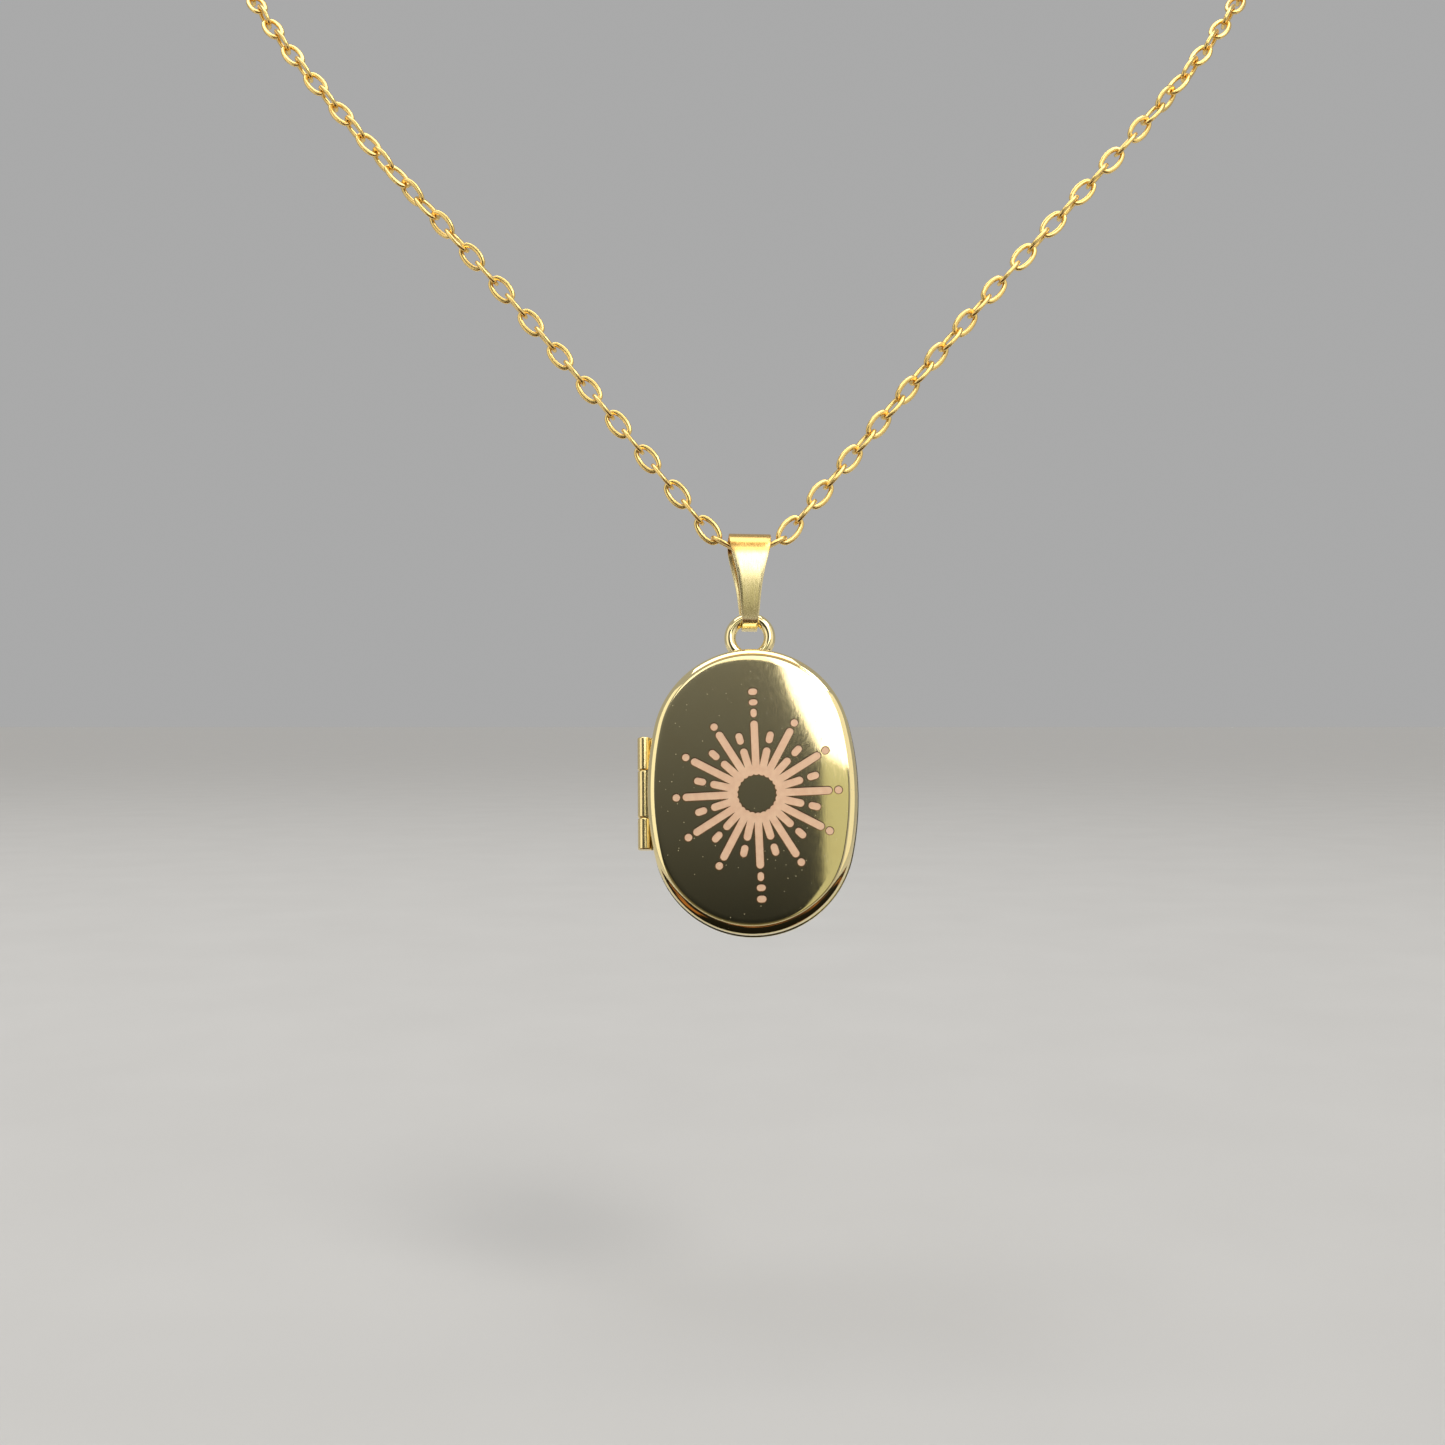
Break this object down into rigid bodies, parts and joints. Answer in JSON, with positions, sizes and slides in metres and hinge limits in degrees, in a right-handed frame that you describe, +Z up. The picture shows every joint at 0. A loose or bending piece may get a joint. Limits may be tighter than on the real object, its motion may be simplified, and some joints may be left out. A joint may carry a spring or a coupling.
{
  "type": "pendant necklace",
  "caption": "Oval hinged picture locket with an engraved sunburst, on a tapered fold-over bail and a flat-wire oval cable chain with a sprung claw clasp.",
  "frame": {"origin": "middle of the wearer's neck, inside the chain's loop, in the necklace's left-right middle plane", "axes": "+Z up, the locket's face looks towards -Y, +X to the right as the locket is looked at"},
  "size_m": [0.1316, 0.1216, 0.1573],
  "materials": {
    "chain_gold": "polished, gold-plated",
    "bail_gold": "satin, gold-plated",
    "locket_gold": "mirror polished, gold-plated",
    "hinge_gold": "polished, gold-plated",
    "ring_gold": "polished, gold-plated",
    "clasp_gold": "polished, gold-plated",
    "frame_gold": "polished, gold-plated",
    "engraving_rose": "matt, etched",
    "spring_steel": "bright wire",
    "clear_window": "clear sheet",
    "blank_card": "smooth card"
  },
  "bodies": {
    "rear_chain": {"left_rear_chain": "chain_gold", "right_rear_chain": "chain_gold", "clasp_body": "clasp_gold", "clasp_pin": "clasp_gold", "clasp_spring": "spring_steel", "clasp_ring": "ring_gold", "end_ring": "ring_gold"},
    "clasp_trigger": {"clasp_trigger": "clasp_gold"},
    "front_drape": {"left_front_chain": "chain_gold", "right_front_chain": "chain_gold", "bail_link": "chain_gold"},
    "bail": {"bail": "bail_gold"},
    "locket_back": {"back_shell": "locket_gold", "suspension_loop": "locket_gold", "hinge_knuckle_upper": "hinge_gold", "hinge_knuckle_lower": "hinge_gold", "hinge_pin": "hinge_gold", "catch_tongue": "locket_gold", "back_picture_frame": "frame_gold", "back_window": "clear_window", "back_picture": "blank_card"},
    "locket_cover": {"front_cover": "locket_gold", "hinge_knuckle_middle": "hinge_gold", "front_picture_frame": "frame_gold", "front_window": "clear_window", "front_picture": "blank_card"}
  },
  "joints": [
    {"name": "clasp_gate", "type": "hinge", "parent": "rear_chain", "child": "clasp_trigger", "pos_m": [0.00086, 0.0495, 0.03172], "axis": [0, -0.8192, -0.5736], "range_deg": [0, 12], "stiffness_Nm_per_rad": 0.0015, "springref_deg": -14.32},
    {"name": "drape_swing", "type": "hinge", "parent": "rear_chain", "child": "front_drape", "pos_m": [0, -0.02258, -0.00156], "axis": [-1, 0, 0], "range_deg": [0, 70]},
    {"name": "bail_swing", "type": "hinge", "parent": "front_drape", "child": "bail", "pos_m": [0, -0.05812, -0.08457], "axis": [-0.9986, -0.0512, 0.0109], "range_deg": [0, 75]},
    {"name": "locket_swing", "type": "hinge", "parent": "bail", "child": "locket_back", "pos_m": [0, -0.05956, -0.09135], "axis": [-0.9974, 0.0646, -0.0315], "range_deg": [0, 60]},
    {"name": "cover_hinge", "type": "hinge", "parent": "locket_back", "child": "locket_cover", "pos_m": [-0.01068, -0.06385, -0.10944], "axis": [0.0175, -0.2079, -0.978], "range_deg": [0, 165]}
  ]
}
